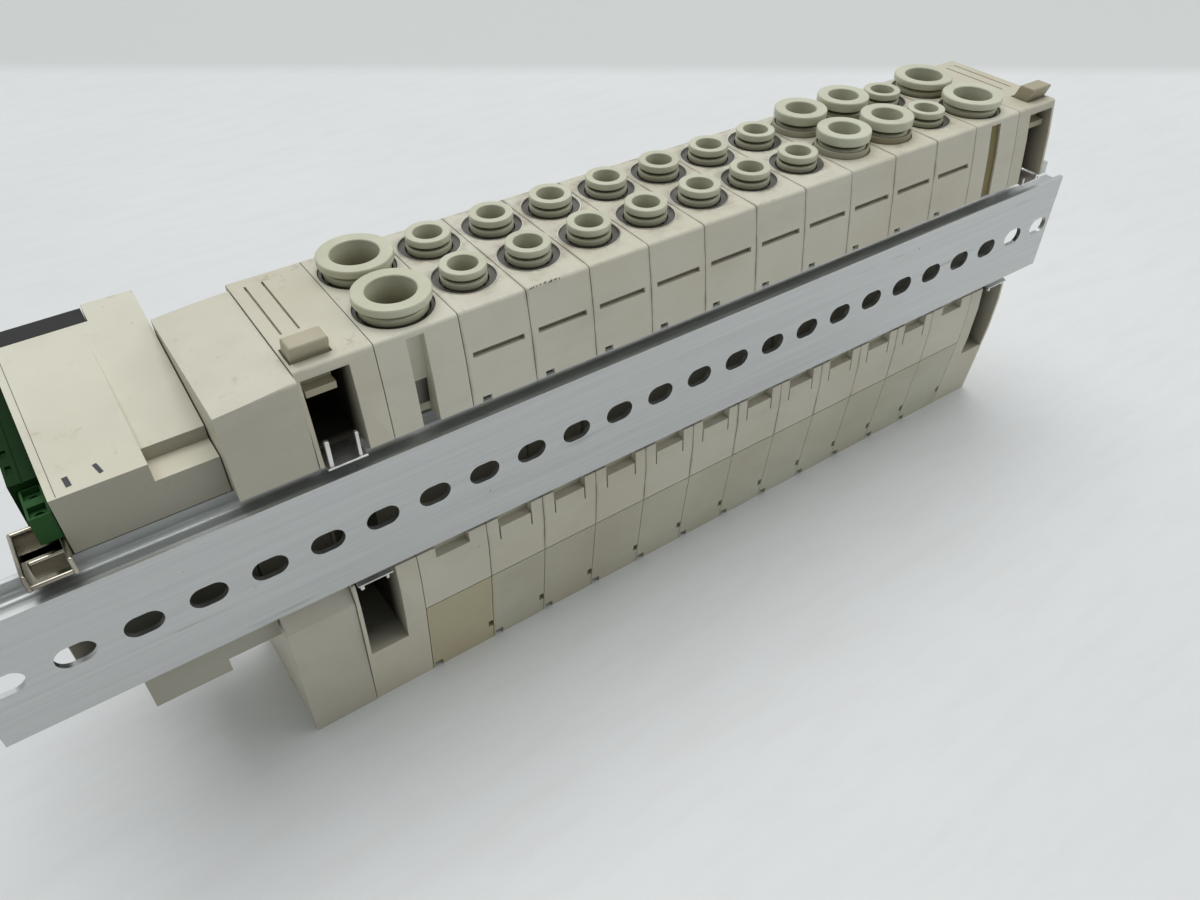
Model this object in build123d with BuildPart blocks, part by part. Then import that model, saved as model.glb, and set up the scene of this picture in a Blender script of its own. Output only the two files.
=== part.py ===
"""Pneumatic valve island: ten valve stations, supply blocks and an interface unit on a slotted rail.

Frame: X runs along the rail, +Y points from the rail's rear face towards the valves, +Z is up.
The origin is the middle of the rail's slot line, on its rear face. Millimetres.
"""
import os

from build123d import *

os.makedirs("parts", exist_ok=True)

# Rail
slot_pitch = 12.5
slot_count = 25
slot_length = 7.6
slot_height = 5.25
rail_end = 5.25
rail_depth = 7.5
rail_wall = 1.25
rail_lip_half = 17.5
rail_web_half = 15.25
rail_web_overhang = 1.65
rail_fillet = 1.53

# Row of stations
station_count = 10
pitch = 16.0
row_left = -50.3
seam = 0.2
supply_width = 18.4
end_width = 16.3
cover_width = 16.2
interface_width = 29.0

# Heights and depths shared by the housings
top_z = 40.3
base_z = -64.5
split_z = -37.2
front_y = 42.0
rail_gap = 0.3
upper_foot_z = 18.4
lower_foot_z = -18.2
foot_y = 1.3
kink_z = 30.2
kink_y = 2.6
crest_y = 4.2
waist_z = -25.6
waist_y = 1.5
split_y = 1.9
base_y = 4.5
top_round = 0.9
front_round = 1.0

# Rear label slot and lower tongue of a station
slit_length = 12.5
slit_height = 1.3
slit_depth = 1.6
tongue_width = 9.0
tongue_recess_height = 3.2
tongue_recess_depth = 2.4
foot_notch_width = 2.2
foot_notch_height = 1.3
foot_notch_depth = 3.0
tongue_slit = 0.4
tongue_slit_depth = 1.2
tongue_slit_length = 4.0
key_width = 1.5
key_height = 2.5
key_depth = 1.2
key_rise = 5.5
toe_left = 0.5
toe_width = 2.4
toe_height = 2.2
toe_depth = 2.4

# Ports
port_y_near = 16.0
port_y_far = 32.0
pocket_depth = 20.0
small_bore = 6.5
small_collar = 10.1
small_seat = 14.4
small_rise = 3.4
small_lower_collar = 10.1
medium_bore = 8.2
medium_collar = 14.1
medium_seat = 15.0
medium_rise = 5.4
medium_lower_collar = 12.4
large_bore = 10.5
large_collar = 16.5
large_seat = 17.0
large_y_near = 14.3
large_y_far = 31.9
large_rise = 4.0
large_lower_collar = 14.6
medium_stations = (8, 9)
collar_share = 0.42
groove_share = 0.2
groove_depth = 0.75
sleeve_wall = 0.85
sleeve_depth = 9.0
sleeve_gap = 0.3
push_travel = 1.2
press_gap = 0.3
cartridge_gap = 0.2
cartridge_recess = 0.5
tube_stop_wall = 3.0

# Rear groove of a supply block, deeper in its lower part
strip_left = 6.6
strip_width = 4.0
strip_depth = 1.4
strip_top = 1.4
strip_low_depth = 3.6
strip_low_z = 27.0

# Valves
valve_width = 15.4
valve_gap = 0.3
valve_top_z = 14.0
valve_front_y = 78.0
valve_body_z = -30.0
pilot_front_y = 72.0
pilot_inset = 0.6
valve_chamfer = 1.5
override_radius = 2.4
override_height = 1.6
override_slot = 0.7
lamp_width = 7.0
lamp_height = 3.0
lamp_depth = 0.6
valve_screw_radius = 1.9
valve_screw_shank = 1.0
valve_screw_clear = 0.2
valve_screw_inset = 4.0
valve_screw_sink = 3.0
screw_head = 1.8

# End blocks
bay_left = 0.9
bay_width = 9.9
bay_depth = 34.0
bay_roof = 2.2
clamp_slit_y = 17.4
clamp_slit_length = 20.9
clamp_tongue_width = 3.2
clamp_slit = 0.5
knob_inset = 1.0
knob_width = 7.8
knob_length = 4.6
knob_height = 3.8
knob_lean = 1.4
knob_y = 7.5
knob_side_gap = 0.4
knob_gap = 0.7
knob_edge = 0.5
clamp_plate = 2.0
arm_width = 6.3
arm_thickness = 3.0
arm_drop = 5.1
ledge_depth = 2.4
ledge_height = 1.6
low_bay_bottom = -44.5

# Connector cover
cover_top_right = 39.9
cover_top_left = 38.6
cover_bevel_z = -24.0
cover_bevel_y = 5.0
cover_y = 1.6
cover_low_y = 4.3
cover_front_y = 40.0

# Interface unit
interface_rear_y = 6.0
interface_front_y = 52.0
interface_foot_z = 17.9
interface_near_z = 31.0
interface_far_z = 40.2
interface_base_z = -30.9
interface_step_z = -27.0
interface_step_x = 16.6
ramp_x = 16.9
ramp_near_drop = 2.4
ramp_near_y = 12.5
ramp_far_y = 44.0
grip_z = 26.8
window_width = 18.4
window_depth = 6.0
window_rise = 1.4
bezel_step = 1.3

# Terminal on the end of the interface unit
header_depth = 3.9
header_near_y = 6.4
header_low_y = 14.4
header_top_z = 28.3
header_rise_gap = 0.4
plug_depth = 5.0
plug_near_y = 15.2
plug_top_z = 30.0
plug_base_z = -12.0
plug_line = 0.3
terminal_far_y = 50.0
terminal_base_z = -16.0
terminal_pitch = 5.08
terminal_poles = 6
terminal_hole = 0.9
terminal_pocket = 3.0
pocket_inset = 0.5
pocket_sink = 1.3
plug_slot_width = 1.0
plug_slot_length = 2.6
plug_slot_inset = 1.1

# Rail end stop
stop_width = 8.6
stop_top_z = 21.8
stop_sheet = 1.2
stop_near_y = 0.6
stop_far_y = 13.5
stop_round = 2.4
stop_blade_z = 19.8
stop_hook_z = -19.2

rail_side_half = rail_web_half - rail_web_overhang
rail_length = slot_pitch * (slot_count - 1) + 2 * rail_end
row_right = row_left + station_count * pitch
left_supply_x = row_left - supply_width
right_supply_x = row_right
left_end_x = left_supply_x - end_width
right_end_x = row_right + supply_width
cover_x = left_end_x - cover_width
interface_x = cover_x - interface_width
channel_y = rail_depth + rail_gap


def save(part, name):
    part.label = name
    export_step(part, f"parts/{name}.step")


# Rail: an open hat section with slots in its web
with BuildPart() as din_rail:
    with BuildSketch(Plane.YZ.offset(-rail_length / 2)) as rail_section:
        with BuildLine():
            inner_side = rail_side_half - rail_wall
            lip_y = rail_depth - rail_wall
            half = Polyline(
                (0, 0),
                (0, rail_web_half),
                (rail_wall, rail_web_half),
                (rail_wall, rail_side_half),
                (lip_y, rail_side_half),
                (lip_y, rail_lip_half),
                (rail_depth, rail_lip_half),
                (rail_depth, inner_side),
                (rail_wall, inner_side),
                (rail_wall, 0),
            )
            mirror(half, about=Plane.XZ)
        make_face()
        concave = [
            v
            for v in rail_section.vertices()
            if abs(abs(v.Y) - rail_side_half) < rail_gap
        ]
        fillet(concave, min(rail_fillet, 0.9 * rail_web_overhang))
    extrude(amount=rail_length)
    with BuildSketch(Plane.XZ):
        with GridLocations(slot_pitch, 0, slot_count, 1):
            SlotOverall(slot_length, slot_height)
    extrude(amount=rail_wall * 2, both=True, mode=Mode.SUBTRACT)
save(din_rail.part, "din_rail")


def housing(left, width, low_z=split_z):
    """Housing of one slice of the row, with the channel for the rail in its back."""
    inner = width - seam
    with BuildPart() as body:
        with BuildSketch(Plane.YZ.offset(left + seam / 2)) as section:
            with BuildLine():
                lower = (
                    [(split_y, split_z + seam)]
                    if low_z == split_z
                    else [(base_y, low_z), (split_y, split_z)]
                )
                Polyline(
                    (foot_y, upper_foot_z),
                    (kink_y, kink_z),
                    (crest_y, top_z),
                    (front_y, top_z),
                    (front_y, low_z + (seam if low_z == split_z else 0)),
                    *lower,
                    (waist_y, waist_z),
                    (split_y, lower_foot_z),
                    (channel_y, lower_foot_z),
                    (channel_y, upper_foot_z),
                    close=True,
                )
            make_face()
            tops = section.vertices().group_by(Axis.Y)[-1].sort_by(Axis.X)
            fillet(tops[0], top_round)
            front_tops = [v for v in section.vertices() if abs(v.X - front_y) < seam and v.Y > 0]
            fillet(front_tops, front_round)
        extrude(amount=inner)
    return body.part


def wiring_block(left, width):
    """Lower wiring housing of one slice, with its key at the seam and a foot notch."""
    with BuildPart() as body:
        with BuildSketch(Plane.YZ.offset(left + seam / 2)):
            with BuildLine():
                Polyline(
                    (split_y, split_z - seam / 2),
                    (base_y, base_z),
                    (front_y, base_z),
                    (front_y, split_z - seam / 2),
                    close=True,
                )
            make_face()
        extrude(amount=width - seam)
        with Locations((left + width, base_y - key_depth, base_z + key_rise)):
            Box(
                2 * key_width,
                4 * key_depth,
                key_height,
                align=(Align.CENTER, Align.CENTER, Align.MIN),
                mode=Mode.SUBTRACT,
            )
        with Locations((left + toe_left, base_y, base_z)):
            Box(
                toe_width,
                2 * toe_depth,
                2 * toe_height,
                align=(Align.MIN, Align.CENTER, Align.CENTER),
                mode=Mode.SUBTRACT,
            )
    return body.part


def port_size(station):
    """Bore, collar, lower collar, seat and rise of the tube fittings of one station."""
    if station in medium_stations:
        return medium_bore, medium_collar, medium_lower_collar, medium_seat, medium_rise
    return small_bore, small_collar, small_lower_collar, small_seat, small_rise


def release_bush(x, y, bore, collar, lower_collar, rise, name):
    """Push bush of a tube fitting: a sleeve with two collars and a groove between them."""
    crown_z = top_z + rise
    sleeve = bore / 2 + sleeve_wall
    under_z = top_z - cartridge_recess
    groove_z = crown_z - collar_share * (crown_z - under_z)
    groove_low_z = groove_z - groove_share * (crown_z - under_z)
    lower_radius = lower_collar / 2
    with BuildPart() as bush:
        with BuildSketch(Plane.XZ):
            with BuildLine():
                Polyline(
                    (bore / 2, crown_z),
                    (collar / 2, crown_z),
                    (collar / 2, groove_z),
                    (lower_radius - groove_depth, groove_z),
                    (lower_radius - groove_depth, groove_low_z),
                    (lower_radius, groove_low_z),
                    (lower_radius, under_z),
                    (sleeve, under_z),
                    (sleeve, top_z - sleeve_depth),
                    (bore / 2, top_z - sleeve_depth),
                    close=True,
                )
            make_face()
        revolve(axis=Axis.Z)
    save(bush.part.moved(Location((x, y, 0))), name)


def cartridge(x, y, bore, lower_collar, seat):
    """Fitting cartridge under a bush: a cup that guides the sleeve and stops the tube."""
    sink = lower_collar / 2 + sleeve_gap
    outer = seat / 2 - cartridge_gap
    guide = bore / 2 + sleeve_wall + sleeve_gap
    head_z = top_z - cartridge_recess
    sink_z = head_z - push_travel - press_gap
    floor_z = top_z - pocket_depth + cartridge_gap
    shoulder_z = top_z - sleeve_depth - push_travel - 2 * sleeve_gap
    with BuildPart() as cup:
        with BuildSketch(Plane.XZ):
            with BuildLine():
                Polyline(
                    (sink, head_z),
                    (outer, head_z),
                    (outer, floor_z),
                    (0, floor_z),
                    (0, floor_z + tube_stop_wall),
                    (bore / 2, floor_z + tube_stop_wall),
                    (bore / 2, shoulder_z),
                    (guide, shoulder_z),
                    (guide, sink_z),
                    (sink, sink_z),
                    close=True,
                )
            make_face()
        revolve(axis=Axis.Z)
    return cup.part.moved(Location((x, y, 0)))


port_rows = (("near", port_y_near), ("far", port_y_far))
cartridges = []
wiring = []
valve_screws = []
screw_z = (valve_top_z - valve_screw_inset, valve_body_z + valve_screw_inset)

for station in range(1, station_count + 1):
    left = row_left + (station - 1) * pitch
    middle = left + pitch / 2
    bore, collar, lower_collar, seat, rise = port_size(station)

    with BuildPart() as station_block:
        add(housing(left, pitch))
        with Locations((middle, port_y_near, top_z), (middle, port_y_far, top_z)):
            Cylinder(
                seat / 2,
                pocket_depth,
                align=(Align.CENTER, Align.CENTER, Align.MAX),
                mode=Mode.SUBTRACT,
            )
        with Locations((middle, kink_y, kink_z)):
            Box(slit_length, 2 * slit_depth, slit_height, mode=Mode.SUBTRACT)
        with Locations((middle, split_y, lower_foot_z)):
            Box(
                tongue_width,
                2 * tongue_recess_depth,
                2 * tongue_recess_height,
                mode=Mode.SUBTRACT,
            )
        slit_top_z = lower_foot_z - tongue_recess_height
        for edge in (-1, 1):
            with Locations((middle + edge * tongue_width / 2, split_y, slit_top_z)):
                Box(
                    tongue_slit,
                    2 * tongue_slit_depth,
                    2 * tongue_slit_length,
                    mode=Mode.SUBTRACT,
                )
        with Locations((left + foot_notch_width * 1.6, foot_y, upper_foot_z)):
            Box(
                foot_notch_width,
                2 * foot_notch_depth,
                2 * foot_notch_height,
                mode=Mode.SUBTRACT,
            )
    save(station_block.part, f"station_block_{station:02d}")

    for row_name, port_y in port_rows:
        bush_name = f"release_bush_{station:02d}_{row_name}"
        release_bush(middle, port_y, bore, collar, lower_collar, rise, bush_name)
        cartridges.append(cartridge(middle, port_y, bore, lower_collar, seat))
    wiring.append(wiring_block(left, pitch))

    with BuildPart() as valve:
        with BuildSketch(Plane.YZ.offset(middle - valve_width / 2)):
            with BuildLine():
                Polyline(
                    (front_y + valve_gap, valve_body_z),
                    (front_y + valve_gap, valve_top_z),
                    (valve_front_y - 2 * valve_chamfer, valve_top_z),
                    (valve_front_y, valve_top_z - 2 * valve_chamfer),
                    (valve_front_y, valve_body_z),
                    close=True,
                )
            make_face()
        extrude(amount=valve_width)
        with BuildSketch(Plane.YZ.offset(middle - valve_width / 2 + pilot_inset)):
            with BuildLine():
                Polyline(
                    (front_y + valve_gap, base_z),
                    (front_y + valve_gap, valve_body_z),
                    (pilot_front_y, valve_body_z),
                    (pilot_front_y, base_z + valve_chamfer),
                    (pilot_front_y - valve_chamfer, base_z),
                    close=True,
                )
            make_face()
        extrude(amount=valve_width - 2 * pilot_inset)
        override_z = (valve_body_z + base_z) / 2
        with Locations(Location((middle, pilot_front_y, override_z), (-90, 0, 0))):
            Cylinder(
                override_radius,
                override_height,
                align=(Align.CENTER, Align.CENTER, Align.MIN),
            )
        with Locations((middle, pilot_front_y + override_height, override_z)):
            Box(2 * override_radius, override_height, override_slot, mode=Mode.SUBTRACT)
        with Locations((middle, pilot_front_y, override_z - 3 * lamp_height)):
            Box(lamp_width, 2 * lamp_depth, lamp_height, mode=Mode.SUBTRACT)
        for z in screw_z:
            with Locations(Location((middle, valve_front_y, z), (-90, 0, 0))):
                Cylinder(
                    valve_screw_radius + valve_screw_clear,
                    2 * valve_screw_sink,
                    mode=Mode.SUBTRACT,
                )
                Cylinder(
                    valve_screw_shank + valve_screw_clear,
                    4 * (valve_front_y - front_y),
                    mode=Mode.SUBTRACT,
                )
    save(valve.part, f"valve_{station:02d}")

    for z in screw_z:
        with BuildPart() as screw:
            with Locations(Location((middle, valve_front_y - valve_screw_sink, z), (-90, 0, 0))):
                Cylinder(
                    valve_screw_radius,
                    screw_head,
                    align=(Align.CENTER, Align.CENTER, Align.MIN),
                )
                Cylinder(
                    valve_screw_shank,
                    valve_front_y - valve_screw_sink - front_y - valve_gap,
                    align=(Align.CENTER, Align.CENTER, Align.MAX),
                )
            with Locations((middle, valve_front_y - valve_screw_sink + screw_head, z)):
                Box(2 * valve_screw_shank, screw_head, override_slot, mode=Mode.SUBTRACT)
                Box(override_slot, screw_head, 2 * valve_screw_shank, mode=Mode.SUBTRACT)
        valve_screws.append(screw.part)

# Supply and exhaust blocks at both ends of the row
for side, left in (("left", left_supply_x), ("right", right_supply_x)):
    middle = left + supply_width / 2
    with BuildPart() as supply_block:
        add(housing(left, supply_width))
        with Locations((middle, large_y_near, top_z), (middle, large_y_far, top_z)):
            Cylinder(
                large_seat / 2,
                pocket_depth,
                align=(Align.CENTER, Align.CENTER, Align.MAX),
                mode=Mode.SUBTRACT,
            )
        with Locations((left + strip_left, foot_y, upper_foot_z)):
            Box(
                strip_width,
                2 * (strip_depth + crest_y - foot_y),
                2 * (top_z - strip_top - upper_foot_z),
                align=(Align.MIN, Align.CENTER, Align.CENTER),
                mode=Mode.SUBTRACT,
            )
        with Locations((left + strip_left, kink_y, upper_foot_z)):
            Box(
                strip_width,
                2 * strip_low_depth,
                2 * (strip_low_z - upper_foot_z),
                align=(Align.MIN, Align.CENTER, Align.CENTER),
                mode=Mode.SUBTRACT,
            )
        with Locations((middle, split_y, lower_foot_z)):
            Box(
                tongue_width,
                2 * tongue_recess_depth,
                2 * tongue_recess_height,
                mode=Mode.SUBTRACT,
            )
    save(supply_block.part, f"supply_block_{side}")
    for row_name, port_y in (("near", large_y_near), ("far", large_y_far)):
        release_bush(
            middle,
            port_y,
            large_bore,
            large_collar,
            large_lower_collar,
            large_rise,
            f"release_bush_{side}_{row_name}",
        )
        cartridges.append(cartridge(middle, port_y, large_bore, large_lower_collar, large_seat))
    wiring.append(wiring_block(left, supply_width))

save(Compound(children=cartridges), "port_cartridges")
save(Compound(children=wiring), "wiring_blocks")
save(Compound(children=valve_screws), "valve_screws")

# End blocks, each with a rear bay, a rail clamp button and its slot in the top
for side, left in (("left", left_end_x), ("right", right_end_x)):
    middle = left + end_width / 2
    bay_x = left + seam / 2 + bay_left
    if side == "right":
        bay_x = left + end_width - seam / 2 - bay_left - bay_width
    button_x = left + knob_inset + knob_width / 2
    if side == "right":
        button_x = left + end_width - knob_inset - knob_width / 2
    bay_z = top_z - bay_roof
    with BuildPart() as end_block:
        add(housing(left, end_width, base_z))
        with Locations((bay_x, 0, bay_z)):
            Box(
                bay_width,
                bay_depth,
                bay_z - upper_foot_z + rail_gap,
                align=(Align.MIN, Align.MIN, Align.MAX),
                mode=Mode.SUBTRACT,
            )
        with Locations((bay_x, 0, lower_foot_z + rail_gap)):
            Box(
                bay_width,
                bay_depth,
                lower_foot_z + rail_gap - low_bay_bottom,
                align=(Align.MIN, Align.MIN, Align.MAX),
                mode=Mode.SUBTRACT,
            )
        with Locations((button_x, knob_y - knob_gap, top_z)):
            Box(
                knob_width + 2 * knob_side_gap,
                knob_length + 2 * knob_gap,
                3 * bay_roof,
                align=(Align.CENTER, Align.MIN, Align.CENTER),
                mode=Mode.SUBTRACT,
            )
        for edge in (-1, 1):
            slit_x = button_x + edge * (clamp_tongue_width / 2 + clamp_slit / 2)
            with Locations((slit_x, clamp_slit_y, top_z)):
                Box(
                    clamp_slit,
                    clamp_slit_length,
                    clamp_plate,
                    align=(Align.CENTER, Align.MIN, Align.CENTER),
                    mode=Mode.SUBTRACT,
                )
    save(end_block.part, f"end_block_{side}")

    with BuildPart() as clamp_button:
        with BuildSketch(Plane.YZ.offset(button_x - knob_width / 2)):
            with BuildLine():
                Polyline(
                    (knob_y, top_z - bay_roof - clamp_plate),
                    (knob_y, top_z),
                    (knob_y - knob_lean, top_z + knob_height),
                    (knob_y - knob_lean + knob_length, top_z + knob_height),
                    (knob_y + knob_length, top_z),
                    (knob_y + knob_length, top_z - bay_roof - clamp_plate),
                    close=True,
                )
            make_face()
        extrude(amount=knob_width)
        top_edges = clamp_button.faces().sort_by(Axis.Z)[-1].edges()
        fillet(top_edges, knob_edge)
        arm_z = top_z - bay_roof
        with Locations((button_x, knob_y, arm_z)):
            Box(
                arm_width,
                arm_thickness,
                arm_drop,
                align=(Align.CENTER, Align.MIN, Align.MAX),
            )
        with Locations((button_x, knob_y, arm_z - arm_drop)):
            Box(
                arm_width,
                2 * ledge_depth,
                ledge_height,
                align=(Align.CENTER, Align.CENTER, Align.MIN),
            )
    save(clamp_button.part, f"clamp_button_{side}")

# Connector cover beside the left end block, with its top falling slightly to the left
with BuildPart() as connector_cover:
    with BuildSketch(Plane.YZ.offset(cover_x + seam / 2)) as cover_section:
        with BuildLine():
            Polyline(
                (cover_y, upper_foot_z - seam),
                (cover_y, cover_top_right),
                (cover_front_y, cover_top_right),
                (cover_front_y, base_z),
                (cover_low_y, base_z),
                (cover_y + seam, cover_bevel_z),
                (cover_bevel_y, lower_foot_z),
                (channel_y, lower_foot_z),
                (channel_y, upper_foot_z - seam),
                close=True,
            )
        make_face()
        cover_tops = cover_section.vertices().group_by(Axis.Y)[-1]
        fillet(cover_tops, front_round)
    extrude(amount=cover_width - seam)
    with BuildSketch(Plane.XZ):
        with BuildLine():
            Polyline(
                (cover_x, cover_top_left),
                (left_end_x, cover_top_right),
                (left_end_x, top_z + 1),
                (cover_x, top_z + 1),
                close=True,
            )
        make_face()
    extrude(amount=-2 * cover_front_y, mode=Mode.SUBTRACT)
save(connector_cover.part, "connector_cover")

# Interface unit: sloping top with a finger ramp, and a stepped lower edge
with BuildPart() as interface_housing:
    with BuildSketch(Plane.YZ.offset(interface_x)) as interface_section:
        with BuildLine():
            Polyline(
                (interface_rear_y, interface_foot_z),
                (interface_rear_y, interface_near_z),
                (interface_front_y, interface_far_z),
                (interface_front_y, interface_base_z),
                (interface_rear_y, interface_base_z),
                (interface_rear_y, lower_foot_z),
                (channel_y, lower_foot_z),
                (channel_y, interface_foot_z),
                close=True,
            )
        make_face()
        fillet(interface_section.vertices().sort_by(Axis.Y)[-1], front_round)
    extrude(amount=interface_width - seam)
    # Finger ramp sunk into the top
    slope = (interface_far_z - interface_near_z) / (interface_front_y - interface_rear_y)
    with BuildSketch(Plane.YZ.offset(interface_x + ramp_x)):
        with BuildLine():
            ramp_near_z = interface_near_z + slope * (ramp_near_y - interface_rear_y)
            ramp_far_z = interface_near_z + slope * (ramp_far_y - interface_rear_y)
            Polyline(
                (0, grip_z),
                (ramp_near_y, grip_z),
                (ramp_near_y, ramp_near_z - ramp_near_drop),
                (ramp_far_y, ramp_far_z),
                (ramp_far_y, ramp_far_z + 5),
                (0, ramp_far_z + 5),
                close=True,
            )
        make_face()
    extrude(amount=interface_width - ramp_x, mode=Mode.SUBTRACT)
    with Locations((interface_x + interface_step_x, 0, interface_step_z)):
        Box(
            interface_width,
            2 * interface_front_y,
            interface_width,
            align=(Align.MIN, Align.CENTER, Align.MAX),
            mode=Mode.SUBTRACT,
        )
    with Locations((interface_x, interface_front_y - window_depth, 0)):
        Box(
            window_width + seam,
            2 * window_depth,
            4 * interface_far_z,
            align=(Align.MIN, Align.MIN, Align.CENTER),
            mode=Mode.SUBTRACT,
        )
save(interface_housing.part, "interface_housing")

with BuildPart() as interface_window_cover:
    with Locations((interface_x, interface_front_y - window_depth + seam, interface_base_z)):
        Box(
            window_width,
            window_depth + bezel_step,
            interface_far_z - window_rise - interface_base_z,
            align=(Align.MIN, Align.MIN, Align.MIN),
        )
    cover_edges = interface_window_cover.faces().sort_by(Axis.Y)[-1].edges()
    chamfer(cover_edges, bezel_step)
save(interface_window_cover.part, "interface_window_cover")

# Terminal header and its plug on the end face of the interface unit
terminal_x = interface_x - seam
with BuildPart() as terminal_header:
    with BuildSketch(Plane.YZ.offset(terminal_x - header_depth)):
        with BuildLine():
            header_low_z = stop_top_z + header_rise_gap
            Polyline(
                (header_near_y, header_low_z),
                (header_near_y, header_top_z),
                (terminal_far_y, header_top_z),
                (terminal_far_y, terminal_base_z),
                (header_low_y, terminal_base_z),
                (header_low_y, header_low_z),
                close=True,
            )
        make_face()
    extrude(amount=header_depth)
    first_y = header_near_y + pocket_inset + terminal_pocket / 2
    for pocket_y in (first_y, first_y + terminal_pitch):
        with Locations((terminal_x - header_depth / 2, pocket_y, header_top_z)):
            Box(terminal_pocket, terminal_pocket, 2 * pocket_sink, mode=Mode.SUBTRACT)
            Cylinder(terminal_hole, 4 * pocket_sink, mode=Mode.SUBTRACT)
save(terminal_header.part, "terminal_header")

with BuildPart() as terminal_plug:
    with BuildSketch(Plane.XZ.offset(-plug_near_y)):
        with BuildLine():
            skirt_x = terminal_x - header_depth - seam
            Polyline(
                (terminal_x, header_top_z + seam),
                (terminal_x, plug_top_z),
                (terminal_x - plug_depth, plug_top_z),
                (terminal_x - plug_depth, plug_base_z),
                (skirt_x, plug_base_z),
                (skirt_x, header_top_z + seam),
                close=True,
            )
        make_face()
    extrude(amount=plug_near_y - terminal_far_y)
    plug_middle_y = (plug_near_y + terminal_far_y) / 2
    with Locations((terminal_x - plug_depth + plug_slot_inset, plug_middle_y, plug_top_z)):
        with GridLocations(0, terminal_pitch, 1, terminal_poles):
            Box(plug_slot_width, plug_slot_length, plug_slot_width, mode=Mode.SUBTRACT)
    with Locations((terminal_x - plug_depth / 2, plug_middle_y, plug_top_z)):
        Box(plug_line, terminal_far_y - plug_near_y, plug_line * 2, mode=Mode.SUBTRACT)
save(terminal_plug.part, "terminal_plug")

# Rail end stop: a bent sheet cup that hooks over both rail lips
with BuildPart() as rail_end_stop:
    stop_middle = interface_x - rail_gap - stop_width / 2
    with BuildSketch(Plane.XY.offset(rail_lip_half + rail_gap)) as cup_plan:
        with Locations((stop_middle, stop_near_y)):
            Rectangle(stop_width, stop_far_y - stop_near_y, align=(Align.CENTER, Align.MIN))
        with Locations((stop_middle, stop_near_y - stop_sheet)):
            Rectangle(
                stop_width - 2 * stop_sheet,
                stop_far_y - stop_near_y,
                align=(Align.CENTER, Align.MIN),
                mode=Mode.SUBTRACT,
            )
    extrude(amount=stop_top_z - rail_lip_half - rail_gap)
    with Locations((stop_middle, stop_near_y, stop_top_z)):
        Box(
            stop_width,
            stop_far_y - stop_near_y,
            stop_sheet,
            align=(Align.CENTER, Align.MIN, Align.MAX),
        )
    with Locations((stop_middle, stop_near_y + stop_sheet, stop_blade_z)):
        Box(
            stop_width,
            stop_far_y - stop_near_y - stop_sheet,
            stop_sheet,
            align=(Align.CENTER, Align.MIN, Align.MAX),
        )
    with Locations((stop_middle, channel_y, stop_top_z - stop_round)):
        Box(
            stop_width,
            stop_sheet * 2,
            stop_top_z - stop_round - stop_hook_z,
            align=(Align.CENTER, Align.MIN, Align.MAX),
        )
    with Locations((stop_middle, channel_y, stop_hook_z)):
        Box(
            stop_width,
            stop_round + rail_gap + rail_wall,
            -rail_lip_half - rail_gap - stop_hook_z,
            align=(Align.CENTER, Align.MAX, Align.MIN),
        )
save(rail_end_stop.part, "rail_end_stop")
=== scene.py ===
"""Looks of the pneumatic valve island: materials, small trim, floor, light and camera."""
import math
import random

import bmesh
import bpy
from mathutils import Matrix, Vector


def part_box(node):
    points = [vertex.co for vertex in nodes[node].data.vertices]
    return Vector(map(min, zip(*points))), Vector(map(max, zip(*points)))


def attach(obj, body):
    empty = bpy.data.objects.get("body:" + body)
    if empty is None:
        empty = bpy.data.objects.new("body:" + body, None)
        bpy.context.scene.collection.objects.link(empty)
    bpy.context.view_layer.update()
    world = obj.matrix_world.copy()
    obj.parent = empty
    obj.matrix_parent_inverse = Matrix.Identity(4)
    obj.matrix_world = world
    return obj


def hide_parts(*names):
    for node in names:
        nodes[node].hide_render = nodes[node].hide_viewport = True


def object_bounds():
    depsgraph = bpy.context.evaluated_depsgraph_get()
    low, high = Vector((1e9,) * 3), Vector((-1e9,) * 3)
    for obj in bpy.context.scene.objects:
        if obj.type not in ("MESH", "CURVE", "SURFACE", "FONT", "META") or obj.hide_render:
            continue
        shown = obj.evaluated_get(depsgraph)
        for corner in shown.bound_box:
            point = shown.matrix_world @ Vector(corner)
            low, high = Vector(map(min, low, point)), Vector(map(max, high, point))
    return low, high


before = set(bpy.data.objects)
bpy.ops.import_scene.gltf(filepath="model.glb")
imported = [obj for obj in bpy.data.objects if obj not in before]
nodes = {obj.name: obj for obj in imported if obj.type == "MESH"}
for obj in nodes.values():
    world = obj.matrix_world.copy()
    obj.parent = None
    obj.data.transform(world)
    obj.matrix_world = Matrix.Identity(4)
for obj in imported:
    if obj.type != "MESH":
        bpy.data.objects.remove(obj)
cad_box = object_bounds()
MM = 0.001
random.seed(7)

# Names of the nodes by kind
stations = sorted(name for name in nodes if name.startswith("station_block"))
supplies = sorted(name for name in nodes if name.startswith("supply_block"))
ends = sorted(name for name in nodes if name.startswith("end_block"))
bushes = sorted(name for name in nodes if name.startswith("release_bush"))
buttons = sorted(name for name in nodes if name.startswith("clamp_button"))
valves = sorted(name for name in nodes if name.startswith("valve_") and name != "valve_screws")

# Camera, measured from the photograph
camera_place = Vector((-119.17, -144.18, 147.18)) * MM
camera_view = Vector((0.42835, 0.61215, -0.66467))
camera_up = Vector((0.37915, 0.54593, 0.74713))
focal_length = 28.65
sensor_width = 36.0


def make_camera():
    data = bpy.data.cameras.new("camera")
    data.lens = focal_length
    data.sensor_width = sensor_width
    data.clip_start = 0.005
    camera = bpy.data.objects.new("camera", data)
    view = camera_view.normalized()
    side = view.cross(camera_up).normalized()
    up = side.cross(view)
    turn = Matrix((side, up, -view)).transposed().to_4x4()
    camera.matrix_world = Matrix.Translation(camera_place) @ turn
    bpy.context.scene.collection.objects.link(camera)
    bpy.context.scene.camera = camera


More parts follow.
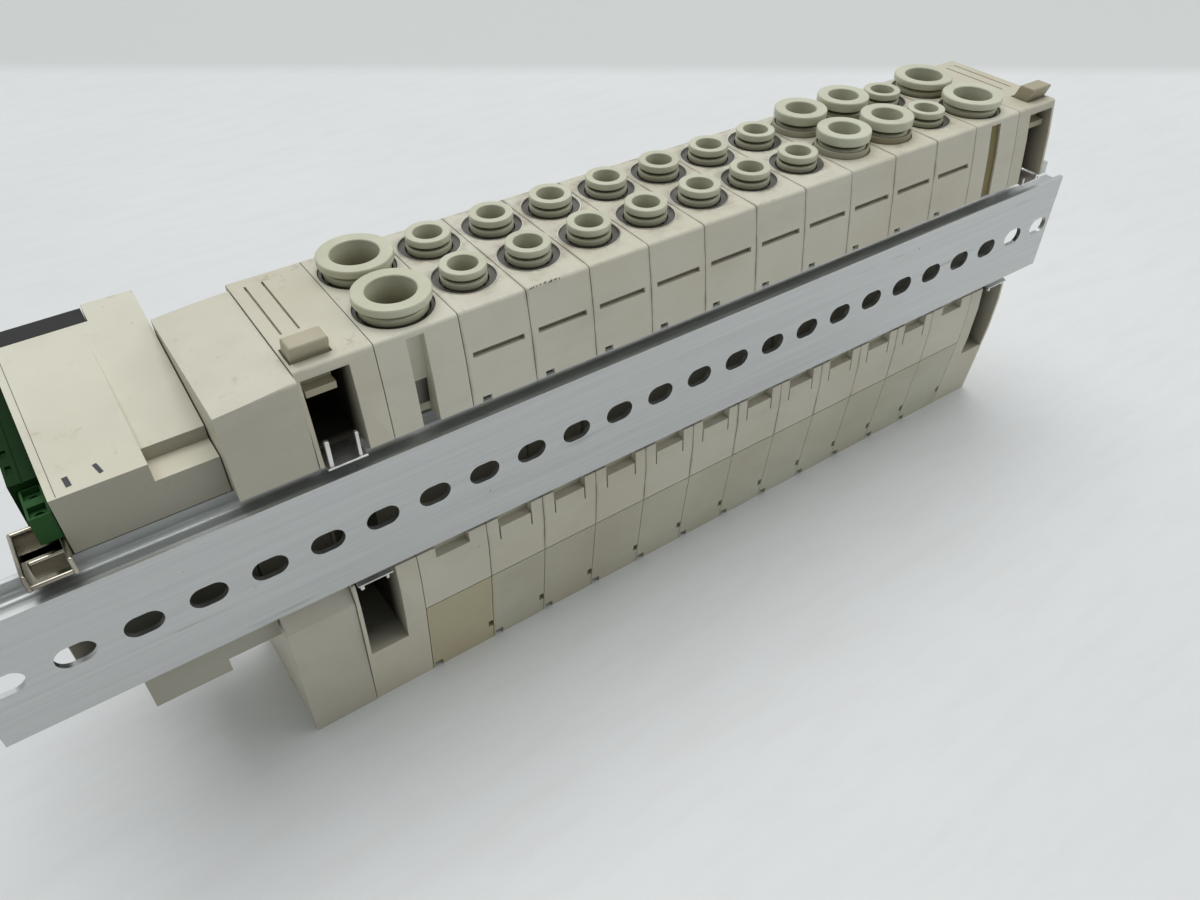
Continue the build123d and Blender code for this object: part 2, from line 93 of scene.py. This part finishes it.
def area_light(name, place, target, size, power):
    data = bpy.data.lights.new(name, "AREA")
    data.shape = "RECTANGLE"
    data.size, data.size_y = size
    data.energy = power
    lamp = bpy.data.objects.new(name, data)
    lamp.location = place
    lamp.rotation_mode = "QUATERNION"
    lamp.rotation_quaternion = (Vector(target) - Vector(place)).to_track_quat("-Z", "Y")
    bpy.context.scene.collection.objects.link(lamp)


class Nodes:
    """A material's node tree with short helpers."""

    def __init__(self, name):
        self.material = bpy.data.materials.new(name)
        self.material.use_nodes = True
        self.tree = self.material.node_tree
        self.shader = self.tree.nodes["Principled BSDF"]
        self.coords = self.tree.nodes.new("ShaderNodeTexCoord").outputs["Object"]

    def new(self, kind, **values):
        node = self.tree.nodes.new(kind)
        for key, value in values.items():
            setattr(node, key, value)
        return node

    def link(self, source, target):
        self.tree.links.new(source, target)

    def noise(self, scale, detail=4.0, stretch=(1, 1, 1), roughness=0.55):
        mapping = self.new("ShaderNodeMapping")
        mapping.inputs["Scale"].default_value = stretch
        self.link(self.coords, mapping.inputs["Vector"])
        node = self.new("ShaderNodeTexNoise")
        node.inputs["Scale"].default_value = scale
        node.inputs["Detail"].default_value = detail
        node.inputs["Roughness"].default_value = roughness
        self.link(mapping.outputs["Vector"], node.inputs["Vector"])
        return node.outputs["Fac"]

    def ramp(self, source, low, high, start=0.0, end=1.0):
        node = self.new("ShaderNodeMapRange")
        node.inputs["From Min"].default_value = low
        node.inputs["From Max"].default_value = high
        node.inputs["To Min"].default_value = start
        node.inputs["To Max"].default_value = end
        self.link(source, node.inputs["Value"])
        return node.outputs["Result"]

    def math(self, operation, first, second):
        node = self.new("ShaderNodeMath", operation=operation)
        for socket, value in zip(node.inputs, (first, second)):
            if isinstance(value, (int, float)):
                socket.default_value = value
            else:
                self.link(value, socket)
        return node.outputs["Value"]

    def mix(self, factor, first, second):
        node = self.new("ShaderNodeMix", data_type="RGBA")
        self.link(factor, node.inputs["Factor"])
        for socket, value in ((node.inputs["A"], first), (node.inputs["B"], second)):
            if isinstance(value, tuple):
                socket.default_value = (*value, 1.0)
            else:
                self.link(value, socket)
        return node.outputs["Result"]

    def facing(self, axis, low, high):
        """Ramp over one axis of the face normal."""
        geometry = self.new("ShaderNodeNewGeometry")
        split = self.new("ShaderNodeSeparateXYZ")
        self.link(geometry.outputs["True Normal"], split.inputs["Vector"])
        return self.ramp(split.outputs[axis], low, high)

    def facing_up(self):
        """1 on faces that look up, 0 on the others."""
        return self.facing("Z", 0.3, 0.8)

    def facing_rear(self):
        """1 on faces that look to the rail side, 0 on the others."""
        return self.facing("Y", -0.6, -0.9)

    def bump(self, height, strength, distance):
        node = self.new("ShaderNodeBump")
        node.inputs["Strength"].default_value = strength
        node.inputs["Distance"].default_value = distance
        self.link(height, node.inputs["Height"])
        self.link(node.outputs["Normal"], self.shader.inputs["Normal"])


def axis_value(n, axis):
    """Place along one axis of the row frame, in millimetres."""
    split = n.new("ShaderNodeSeparateXYZ")
    n.link(n.coords, split.inputs["Vector"])
    return n.math("MULTIPLY", split.outputs[axis], 1000.0)


def port_dirt(n, first_x, pitch, first_y, row_pitch, reach):
    """Grime that gathers on the top around the ports, as a factor from 0 to 1."""
    along = n.math("PINGPONG", n.math("SUBTRACT", axis_value(n, "X"), first_x), pitch / 2)
    across = n.math("PINGPONG", n.math("SUBTRACT", axis_value(n, "Y"), first_y), row_pitch / 2)
    far = n.math("SQRT", n.math("ADD", n.math("POWER", along, 2.0), n.math("POWER", across, 2.0)), 0.0)
    ring = n.ramp(far, reach + 2.2, reach - 0.2)
    patches = n.ramp(n.noise(240.0, 5.0, roughness=0.7), 0.40, 0.66)
    row_part = n.ramp(axis_value(n, "Y"), first_y - 9.5, first_y - 7.5, 0.2, 1.0)
    ring = n.math("MULTIPLY", ring, row_part)
    return n.math("MULTIPLY", n.math("MULTIPLY", ring, patches), n.facing_up())


def seam_dirt(n, first_x, pitch):
    """Thin dirt along the seams between the slices of the row."""
    along = n.math("PINGPONG", n.math("SUBTRACT", axis_value(n, "X"), first_x), pitch / 2)
    line = n.ramp(along, pitch / 2 - 0.75, pitch / 2 - 0.15)
    return n.math("MULTIPLY", line, n.ramp(n.noise(120.0, 4.0), 0.35, 0.7))


def bay_shade_mask(n, middles, half_width):
    """Mask for painted shade: 1 deep inside the rear bays of the end blocks, 0 elsewhere."""
    inside = None
    for middle in middles:
        off = n.math("ABSOLUTE", n.math("SUBTRACT", axis_value(n, "X"), middle), 0.0)
        here = n.ramp(off, half_width + 0.06, half_width + 0.02)
        inside = here if inside is None else n.math("MAXIMUM", inside, here)
    past_mouth = n.ramp(axis_value(n, "Y"), 2.5, 10.0)
    before_wall = n.ramp(axis_value(n, "Y"), bay_wall_y + 0.6, bay_wall_y + 0.2)
    deep = n.math("MULTIPLY", past_mouth, before_wall)
    height = axis_value(n, "Z")
    below_roof = n.ramp(height, 39.0, 37.5)
    above_floor = n.ramp(height, -45.5, -44.0)
    inside = n.math("MULTIPLY", inside, deep)
    return n.math("MULTIPLY", inside, n.math("MULTIPLY", below_roof, above_floor))


def moulded_plastic(
    name,
    colour,
    aged,
    rough=0.5,
    grime=0.5,
    dust=0.35,
    ports=None,
    seams=None,
    bays=None,
    rear_face_shade=0.0,
    gloss=0.5,
    tan_below=None,
):
    """Moulded plastic that has yellowed in patches, with grime on its upper faces, and optional painted
    shade on the faces that look to the rail side and deep inside the rear bays of the end blocks.
    """
    n = Nodes(name)
    patches = n.ramp(n.noise(22.0, 5.0), 0.38, 0.66)
    tone = n.mix(patches, colour, aged)
    if tan_below is not None:
        tan = n.mix(patches, (0.50, 0.455, 0.30), (0.45, 0.38, 0.25))
        tone = n.mix(n.ramp(axis_value(n, "X"), tan_below + 0.5, tan_below - 0.5), tone, tan)
    smudges = n.ramp(n.noise(75.0, 6.0, (0.45, 0.45, 1.0), 0.65), 0.5, 0.78, 0.0, 0.45)
    smudge = tuple(channel * 0.82 for channel in aged)
    tone = n.mix(smudges, tone, smudge)
    spots = n.ramp(n.noise(190.0, 6.0, roughness=0.7), 0.60, 0.74)
    grimy = (aged[0] * 0.60, aged[1] * 0.53, aged[2] * 0.42)
    soiling = n.math("MULTIPLY", spots, n.math("MULTIPLY", n.facing_up(), grime))
    tone = n.mix(soiling, tone, grimy)
    if ports:
        tone = n.mix(n.math("MULTIPLY", port_dirt(n, *ports), 0.75), tone, (0.27, 0.225, 0.15))
    if seams:
        tone = n.mix(n.math("MULTIPLY", seam_dirt(n, *seams), 0.6), tone, (0.20, 0.17, 0.12))
    specks = n.ramp(n.noise(560.0, 3.0), 0.72, 0.78, 0.0, dust)
    tone = n.mix(specks, tone, tuple(channel * 0.4 for channel in grimy))
    # Painted shade: the faces that look to the rail side are darkened by the given share.
    if rear_face_shade:
        shaded = tuple(channel * 0.25 for channel in aged)
        tone = n.mix(n.math("MULTIPLY", n.facing_rear(), rear_face_shade), tone, shaded)
    # Painted shade: near black deep inside the rear bays of the end blocks, where little light reaches.
    if bays:
        tone = n.mix(n.math("MULTIPLY", bay_shade_mask(n, *bays), 0.97), tone, (0.012, 0.010, 0.007))
    n.link(tone, n.shader.inputs["Base Color"])
    n.shader.inputs["Specular IOR Level"].default_value = gloss
    n.link(n.ramp(n.noise(60.0), 0.3, 0.7, rough - 0.06, rough + 0.1), n.shader.inputs["Roughness"])
    n.bump(n.noise(2600.0, 3.0), 0.25, 0.00006)
    return n.material


def bush_plastic(name, colour, aged):
    """Glossy bush plastic with brown grime low down, where the bush meets its seat, and painted shade
    lower still, inside the seat.
    """
    n = Nodes(name)
    tone = n.mix(n.ramp(n.noise(80.0, 4.0), 0.35, 0.68), colour, aged)
    height = n.math("ADD", axis_value(n, "Z"), n.math("MULTIPLY", n.noise(170.0, 5.0), 2.4))
    low = n.ramp(height, 43.6, 41.6)
    tone = n.mix(n.math("MULTIPLY", low, 0.34), tone, (0.36, 0.30, 0.17))
    spots = n.ramp(n.noise(330.0, 5.0, roughness=0.7), 0.66, 0.72, 0.0, 0.8)
    tone = n.mix(n.math("MULTIPLY", spots, n.ramp(height, 46.0, 41.5)), tone, (0.055, 0.045, 0.03))
    # Painted shade: the bush turns dark further down, inside its seat.
    deep = n.ramp(height, 41.5, 36.0)
    tone = n.mix(deep, tone, (0.16, 0.15, 0.085))
    n.link(tone, n.shader.inputs["Base Color"])
    n.link(n.ramp(n.noise(120.0), 0.3, 0.7, 0.28, 0.46), n.shader.inputs["Roughness"])
    n.bump(n.noise(500.0, 3.0), 0.18, 0.0001)
    return n.material


def brushed_metal(name, colour, rough, streak=(1, 60, 60), scratch=0.35):
    n = Nodes(name)
    grain = n.noise(14.0, 6.0, streak, 0.7)
    dark = tuple(c * 0.84 for c in colour)
    bright = tuple(min(1, c * 1.06) for c in colour)
    tone = n.mix(n.ramp(grain, 0.3, 0.7), dark, bright)
    scratches = n.ramp(n.noise(26.0, 3.0, (0.6, 24.0, 9.0), 0.6), 0.655, 0.69, 0.0, 0.55)
    tone = n.mix(scratches, tone, tuple(c * 0.62 for c in colour))
    pits = n.ramp(n.noise(420.0, 3.0), 0.73, 0.77, 0.0, 0.8)
    tone = n.mix(pits, tone, (0.08, 0.075, 0.06))
    n.link(tone, n.shader.inputs["Base Color"])
    n.link(n.ramp(grain, 0.3, 0.7, rough - 0.07, rough + 0.1), n.shader.inputs["Roughness"])
    n.shader.inputs["Metallic"].default_value = 1.0
    n.bump(grain, scratch, 0.00003)
    return n.material


def smooth_metal(name, colour, rough, stain_share=0.7):
    n = Nodes(name)
    stain = n.ramp(n.noise(90.0, 5.0), 0.35, 0.7)
    n.link(n.mix(stain, colour, tuple(c * stain_share for c in colour)), n.shader.inputs["Base Color"])
    n.link(n.ramp(n.noise(200.0), 0.3, 0.7, rough - 0.05, rough + 0.1), n.shader.inputs["Roughness"])
    n.shader.inputs["Metallic"].default_value = 1.0
    n.bump(n.noise(900.0), 0.12, 0.00005)
    return n.material


def plain(name, colour, rough):
    n = Nodes(name)
    tone = n.mix(n.ramp(n.noise(160.0, 5.0), 0.35, 0.68), colour, tuple(c * 0.72 for c in colour))
    n.link(tone, n.shader.inputs["Base Color"])
    n.shader.inputs["Roughness"].default_value = rough
    return n.material


# Places on the CAD, in millimetres
slice_gap = 0.1
bay_side_wall = 0.9
bay_half_width = 4.95
bay_wall_y = 34.0
top_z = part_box("station_block_01")[1][2] / MM
slot_y = 2.6
slot_z = 30.2
slope_near_y = 6.0
slope_near_z = 31.0
slope_rise = 0.2

# Bush heads up to these widths are small and medium ones, in millimetres
small_head = 12.0
medium_head = 15.0

# Places that the dirt follows, in millimetres
first_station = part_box("station_block_01")
last_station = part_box("station_block_10")
station_pitch = (last_station[0][0] - first_station[0][0]) / (len(stations) - 1) / MM
first_middle = (first_station[0][0] + first_station[1][0]) / 2 / MM
near_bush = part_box("release_bush_01_near")
far_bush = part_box("release_bush_01_far")
near_row = (near_bush[0][1] + near_bush[1][1]) / 2 / MM
row_pitch = (far_bush[0][1] - near_bush[0][1]) / MM
station_ports = (first_middle, station_pitch, near_row, row_pitch, 7.2)
station_seams = (first_middle, station_pitch)

ivory_colour = (0.625, 0.60, 0.50)
ivory_aged = (0.575, 0.535, 0.425)
ivory = moulded_plastic("ivory_plastic", ivory_colour, ivory_aged)
station_skin = moulded_plastic(
    "station_plastic", ivory_colour, ivory_aged, grime=0.7, ports=station_ports, seams=station_seams
)
end_middles = []
for name in ends:
    low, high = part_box(name)
    if name.endswith("left"):
        end_middles.append(low[0] / MM + bay_side_wall + bay_half_width)
    else:
        end_middles.append(high[0] / MM - bay_side_wall - bay_half_width)
end_bay_shade = (end_middles, bay_half_width)
end_skin = moulded_plastic(
    "end_plastic", (0.60, 0.57, 0.465), (0.53, 0.485, 0.37), grime=0.9, bays=end_bay_shade
)
cover_skin = moulded_plastic("cover_plastic", ivory_colour, ivory_aged, rear_face_shade=0.22)
ivory_dirty = moulded_plastic("ivory_dirty", (0.46, 0.42, 0.31), (0.34, 0.295, 0.19), grime=1.0)
interface_skin = moulded_plastic("interface_plastic", (0.66, 0.645, 0.53), (0.61, 0.575, 0.46), rear_face_shade=0.52)
wiring_skin = moulded_plastic("wiring_plastic", (0.54, 0.525, 0.42), (0.46, 0.43, 0.325), tan_below=-49.8)
bush_skin = bush_plastic("bush_plastic", (0.585, 0.585, 0.455), (0.52, 0.515, 0.385))
valve_skin = moulded_plastic("valve_plastic", (0.56, 0.55, 0.46), (0.52, 0.50, 0.41))
black_skin = moulded_plastic(
    "black_plastic", (0.02, 0.021, 0.019), (0.03, 0.03, 0.027), grime=0.3, gloss=0.2
)
green_skin = moulded_plastic(
    "green_plastic", (0.03, 0.10, 0.028), (0.022, 0.08, 0.022), 0.6, grime=0.1, gloss=0.15
)
# Painted shade: a darker copy of the header green, which paints the terminal plug as if it lay in shade.
shaded_green_skin = moulded_plastic(
    "shaded_green", (0.008, 0.034, 0.007), (0.006, 0.028, 0.006), 0.65, grime=0.1, gloss=0.1
)
rail_metal = brushed_metal("rail_aluminium", (0.60, 0.615, 0.61), 0.40)
nickel = smooth_metal("nickel_sheet", (0.56, 0.51, 0.42), 0.2, 0.45)
disc_metal = smooth_metal("disc_metal", (0.20, 0.19, 0.17), 0.42)
screw_metal = smooth_metal("screw_steel", (0.55, 0.55, 0.54), 0.3)
ring_metal = smooth_metal("seat_ring", (0.88, 0.85, 0.77), 0.4, 0.3)
clamp_metal = smooth_metal("clamp_sheet", (0.86, 0.85, 0.82), 0.38)
slot_strip = plain("slot_strip", (0.17, 0.15, 0.115), 0.6)
olive_strip = plain("olive_strip", (0.20, 0.155, 0.045), 0.5)
groove_grime = plain("groove_grime", (0.085, 0.07, 0.04), 0.6)
seam_shade = plain("seam_shade", (0.045, 0.036, 0.024), 0.8)
ink = plain("ink", (0.02, 0.02, 0.024), 0.5)
head_ring_skin = moulded_plastic("head_ring", (0.42, 0.40, 0.30), (0.28, 0.235, 0.14), grime=1.0, dust=0.8)


def dress(names, material):
    for name in names:
        for material_slot in nodes[name].material_slots:
            material_slot.material = material


def head_width(name):
    """Width of a bush's head, in millimetres."""
    low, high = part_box(name)
    return (high[0] - low[0]) / MM


def soften(names, width, clamp=True):
    """Small moulded edges on the CAD nodes, as a modifier."""
    for name in names:
        node = nodes[name]
        weld = node.modifiers.new("joined", "WELD")
        weld.merge_threshold = 0.002 * MM
        bevel = node.modifiers.new("edges", "BEVEL")
        bevel.width = width
        bevel.segments = 3
        bevel.limit_method = "ANGLE"
        bevel.angle_limit = math.radians(30.0)
        bevel.use_clamp_overlap = clamp
        bevel.harden_normals = False


dress(stations, station_skin)
dress(supplies, ivory)
dress(ends, end_skin)
dress(["connector_cover"], cover_skin)
dress(["interface_housing"], interface_skin)
dress(["wiring_blocks"], wiring_skin)
dress(bushes, bush_skin)
dress(buttons, ivory_dirty)
dress(valves, valve_skin)
dress(["valve_screws"], screw_metal)
dress(["port_cartridges"], disc_metal)
dress(["interface_window_cover"], black_skin)
dress(["terminal_header"], green_skin)
dress(["terminal_plug"], shaded_green_skin)
dress(["din_rail"], rail_metal)

housings = stations + supplies + ends + buttons + valves
soften(housings + ["connector_cover", "interface_housing"], 0.25 * MM)
for bush in bushes:
    soften([bush], (0.27 if head_width(bush) < small_head else 0.42) * MM, clamp=False)


def trim_object(name, mesh, material, body="island"):
    mesh.materials.append(material)
    piece = bpy.data.objects.new(name, mesh)
    bpy.context.scene.collection.objects.link(piece)
    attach(piece, body)
    return piece


def add_box(cells, low, high):
    """A box between two corners in millimetres, into the mesh being built."""
    made = bmesh.ops.create_cube(cells, size=1.0)["verts"]
    for corner in made:
        corner.co = Vector(
            (low[axis] if corner.co[axis] < 0 else high[axis]) * MM for axis in range(3)
        )


def add_ring(cells, centre, inner, outer, low, high, steps=48):
    """A flat ring about a vertical axis, in millimetres, into the mesh being built."""
    loops = []
    for radius, z in ((inner, low), (outer, low), (outer, high), (inner, high)):
        loops.append(
            [
                cells.verts.new(
                    (
                        (centre[0] + radius * math.cos(2 * math.pi * step / steps)) * MM,
                        (centre[1] + radius * math.sin(2 * math.pi * step / steps)) * MM,
                        z * MM,
                    )
                )
                for step in range(steps)
            ]
        )
    for first, second in zip(loops, loops[1:] + loops[:1]):
        for step in range(steps):
            after = (step + 1) % steps
            cells.faces.new((first[step], first[after], second[after], second[step]))


def add_prism(cells, outline, start, end):
    """An outline in Y and Z drawn out along X, in millimetres, into the mesh being built."""
    sides = [[cells.verts.new(Vector((x, y, z)) * MM) for y, z in outline] for x in (start, end)]
    cells.faces.new(sides[0])
    cells.faces.new(sides[1][::-1])
    for first in range(len(outline)):
        second = (first + 1) % len(outline)
        cells.faces.new((sides[0][first], sides[1][first], sides[1][second], sides[0][second]))


def round_edges(piece, width, segments):
    """A small bevel on a trim piece, its width in millimetres."""
    bevel = piece.modifiers.new("edges", "BEVEL")
    bevel.width = width * MM
    bevel.segments = segments


def finished_mesh(cells, name):
    bmesh.ops.recalc_face_normals(cells, faces=cells.faces)
    mesh = bpy.data.meshes.new(name)
    cells.to_mesh(mesh)
    cells.free()
    return mesh


def middle_of(name):
    low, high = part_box(name)
    return ((low[0] + high[0]) / 2 / MM, (low[1] + high[1]) / 2 / MM)


def make_port_rings():
    """Bright metal rims, dirty head rings of the medium fittings and the bushes' groove rings."""
    rims = bmesh.new()
    heads = bmesh.new()
    for name in bushes:
        if head_width(name) < small_head:
            add_ring(rims, middle_of(name), 6.95, 7.22, top_z - 0.6, top_z + 0.1)
            radius, low, high = (4.3, 41.25, 42.1)
        elif head_width(name) < medium_head:
            add_ring(heads, middle_of(name), 6.45, 7.15, top_z - 0.6, top_z + 1.5)
            radius, low, high = (5.45, 42.0, 43.26)
        else:
            radius, low, high = (6.55, 41.48, 42.44)
        groove = bmesh.new()
        add_ring(groove, middle_of(name), radius - 0.1, radius + 0.16, low, high)
        groove_name = name.replace("release_bush", "groove")
        trim_object(groove_name, finished_mesh(groove, groove_name), groove_grime, name)
    trim_object("seat_rings", finished_mesh(rims, "seat_rings"), ring_metal)
    head_mesh = finished_mesh(heads, "head_rings")
    head_rings = trim_object("head_rings", head_mesh, head_ring_skin)
    round_edges(head_rings, 0.25, 2)


def make_slot_strips():
    """Grey strips low in the label slots, painted shade in the notches, and the right supply block's olive
    strip.
    """
    strips = bmesh.new()
    half_strip = 6.2
    for name in stations:
        middle = middle_of(name)[0]
        low = (middle - half_strip, slot_y + 0.7, slot_z - 0.6)
        high = (middle + half_strip, slot_y + 1.7, slot_z + 0.45)
        add_box(strips, low, high)
    trim_object("slot_strips", finished_mesh(strips, "slot_strips"), slot_strip)
    # Painted shade: dark boxes set into the notches of the stations.
    notches = bmesh.new()
    for name in stations:
        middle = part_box(name)[0][0] / MM - slice_gap + 3.52
        add_box(notches, (middle - 1.05, 2.2, 18.45), (middle + 1.05, 4.2, 19.65))
    trim_object("notch_shade", finished_mesh(notches, "notch_shade"), seam_shade)
    olive = bmesh.new()
    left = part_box("supply_block_right")[0][0] / MM + 6.5
    front_line = ((1.9, 18.5), (3.1, 30.2), (4.55, 38.8))
    outline = list(front_line) + [(y + 1.2, z) for y, z in reversed(front_line)]
    add_prism(olive, outline, left + 0.06, left + 3.94)
    trim_object("olive_strip", finished_mesh(olive, "olive_strip"), olive_strip)


def make_seam_shade_plates():
    """Dark plates that close the seams between the slices of the row from inside: painted shade in the
    gaps.
    """
    outline = ((1.75, 18.6), (3.05, 30.2), (4.75, 39.85), (41.6, 39.85), (41.6, -37.0))
    outline += ((2.4, -37.0), (2.0, -25.6), (2.4, -18.4), (8.2, -18.4), (8.2, 18.6))
    half_plate = 0.09
    places = [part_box(name)[0][0] / MM - slice_gap for name in stations + supplies]
    places.append(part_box("station_block_10")[1][0] / MM + slice_gap)
    places.append(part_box("supply_block_right")[1][0] / MM + slice_gap)
    # Painted shade: one thin dark plate in each seam between the slices.
    fill = bmesh.new()
    for place in sorted(set(round(place, 3) for place in places)):
        add_prism(fill, outline, place - half_plate, place + half_plate)
    trim_object("seam_shade_plates", finished_mesh(fill, "seam_shade_plates"), seam_shade)


def make_clamps():
    """Metal clamp sheets on the rail lips under the end blocks, with two tabs each."""
    sheets = bmesh.new()
    inset = 1.2
    sheet_width = 8.6
    lower_reach = 19.6
    for name in ends:
        low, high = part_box(name)
        if name.endswith("left"):
            start = low[0] / MM + inset
            tab_top = 24.6
        else:
            start = high[0] / MM - inset - sheet_width
            tab_top = 19.4
        upper = (
            ((start, 0.5, 17.62), (start + sheet_width, 7.6, 18.05)),
            ((start + 0.6, 0.9, 18.0), (start + 1.5, 1.8, tab_top)),
            ((start + 6.9, 0.9, 18.0), (start + 7.6, 1.8, tab_top - 0.4)),
        )
        for first, second in upper:
            add_box(sheets, first, second)
        for first, second in upper:
            reach = min(second[2], lower_reach)
            add_box(sheets, (first[0], first[1], -reach), (second[0], second[1], -first[2]))
    clamp_mesh = finished_mesh(sheets, "rail_clamps")
    clamps = trim_object("rail_clamps", clamp_mesh, clamp_metal)
    round_edges(clamps, 0.12, 2)


def make_end_stop():
    """The bent sheet cup at the end of the interface unit, open to the rail side."""
    low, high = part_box("rail_end_stop")
    left, right = low[0] / MM, high[0] / MM
    near, far = low[1] / MM, high[1] / MM
    top, bottom = high[2] / MM, low[2] / MM
    floor_z, sheet, lip_y = 17.75, 0.9, 7.75
    cup = bmesh.new()
    add_box(cup, (left, near, floor_z), (left + sheet, far, top))
    add_box(cup, (right - sheet, near, floor_z), (right, far, top))
    add_box(cup, (left, far - sheet, floor_z), (right, far, top))
    add_box(cup, (left, near + 0.4, floor_z), (right, far, floor_z + sheet))
    add_box(cup, (left + 1.6, near + 4.0, floor_z), (right - 0.6, near + 4.0 + sheet, top - 1.0))
    add_box(cup, (left, lip_y, -17.7), (right, far - 3.0, floor_z + sheet))
    add_box(cup, (left, lip_y - 2.5, bottom), (right, lip_y + 2.4, -17.75))
    stop = trim_object("end_stop_sheet", finished_mesh(cup, "end_stop_sheet"), nickel)
    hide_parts("rail_end_stop")
    round_edges(stop, 0.4, 3)


def on_slope(x, y):
    """Point on the sloping top of the interface unit, in millimetres."""
    return Vector((x, y, slope_near_z + (y - slope_near_y) * slope_rise))


def add_mark(cells, start, end, width, lift=0.06):
    """A thin flat dash between two points, in millimetres."""
    along = (end - start).normalized()
    side = along.cross(Vector((0, 0, 1))).normalized() * width / 2
    up = Vector((0, 0, lift))
    base = [start - side, start + side, end + side, end - side]
    low = [cells.verts.new((point - up) * MM) for point in base]
    high = [cells.verts.new((point + up) * MM) for point in base]
    cells.faces.new(high)
    cells.faces.new(low[::-1])
    for first in range(4):
        second = (first + 1) % 4
        cells.faces.new((low[first], low[second], high[second], high[first]))


def make_marks():
    """Two short ink dashes, the bezel line and some scuffs."""
    marks = bmesh.new()
    add_mark(marks, on_slope(-126.2, 7.6), on_slope(-126.4, 9.9), 1.0)
    add_mark(marks, on_slope(-120.6, 8.0), on_slope(-121.2, 10.4), 0.8)
    scuff_count, scuff_width, scuff_step = 9, 0.16, 0.9
    for number in range(scuff_count):
        x = -33.5 + number * scuff_step + random.uniform(-0.2, 0.2)
        y = 3.9 + random.uniform(-0.3, 0.4) * 0.5
        start = Vector((x, y, top_z - 0.05))
        reach = Vector((random.uniform(0.3, 1.0), random.uniform(0.2, 0.7), 0))
        add_mark(marks, start, start + reach, scuff_width)
    trim_object("ink_marks", finished_mesh(marks, "ink_marks"), ink)
    line = bmesh.new()
    bezel_x = -128.8
    add_mark(line, on_slope(bezel_x, 6.3), on_slope(bezel_x, 50.0), 0.14, 0.03)
    trim_object("bezel_line", finished_mesh(line, "bezel_line"), slot_strip)


make_port_rings()
make_slot_strips()
make_seam_shade_plates()
make_clamps()
make_end_stop()
make_marks()


def make_floor():
    n = Nodes("floor")
    tone = n.mix(n.ramp(n.noise(6.0), 0.3, 0.7), (0.70, 0.71, 0.71), (0.73, 0.74, 0.745))
    grain = n.ramp(n.noise(30.0, 6.0, (1.0, 5.0, 1.0), 0.65), 0.45, 0.75, 0.0, 0.35)
    tone = n.mix(grain, tone, (0.64, 0.635, 0.62))
    split = n.new("ShaderNodeSeparateXYZ")
    n.link(n.coords, split.inputs["Vector"])
    away_x = n.math("MULTIPLY", split.outputs["X"], backdrop_way[0])
    away_y = n.math("MULTIPLY", split.outputs["Y"], backdrop_way[1])
    away = n.math("ADD", away_x, away_y)
    backdrop = n.ramp(away, backdrop_start, backdrop_start + 0.02)
    tone = n.mix(backdrop, tone, (0.60, 0.62, 0.61))
    n.link(tone, n.shader.inputs["Base Color"])
    n.shader.inputs["Roughness"].default_value = 0.5
    mesh = bpy.data.meshes.new("floor")
    reach = 6.0
    height = cad_box[0].z
    corners = [(-reach, -reach, height), (reach, -reach, height), (reach, reach, height)]
    corners.append((-reach, reach, height))
    mesh.from_pydata(corners, [], [(0, 1, 2, 3)])
    mesh.materials.append(n.material)
    floor = bpy.data.objects.new("floor", mesh)
    bpy.context.scene.collection.objects.link(floor)


def make_world():
    world = bpy.data.worlds.new("studio")
    world.use_nodes = True
    background = world.node_tree.nodes["Background"]
    background.inputs["Color"].default_value = (0.79, 0.83, 0.84, 1.0)
    tree = world.node_tree
    coords = tree.nodes.new("ShaderNodeTexCoord")
    toward = tree.nodes.new("ShaderNodeVectorMath")
    toward.operation = "DOT_PRODUCT"
    toward.inputs[1].default_value = dark_side
    tree.links.new(coords.outputs["Generated"], toward.inputs[0])
    fall = tree.nodes.new("ShaderNodeMapRange")
    fall.inputs["From Min"].default_value = 0.0
    fall.inputs["From Max"].default_value = 0.75
    fall.inputs["To Min"].default_value = bright_sky
    fall.inputs["To Max"].default_value = dark_sky
    tree.links.new(toward.outputs["Value"], fall.inputs["Value"])
    tree.links.new(fall.outputs["Result"], background.inputs["Strength"])
    bpy.context.scene.world = world


# Backdrop and daylight
backdrop_start = 0.387
backdrop_way = (0.573, 0.819)
dark_side = (-0.78, -0.62, 0.08)
bright_sky = 0.66
dark_sky = 0.30
make_camera()
make_floor()
make_world()
area_light("ceiling", (0.15, 0.7, 2.6), (0, 0.05, 0), (2.7, 2.0), 48.0)
area_light("window", (1.3, -0.7, 0.9), (0.1, 0, 0), (1.0, 0.9), 3.5)
bpy.context.scene.view_settings.view_transform = "Standard"
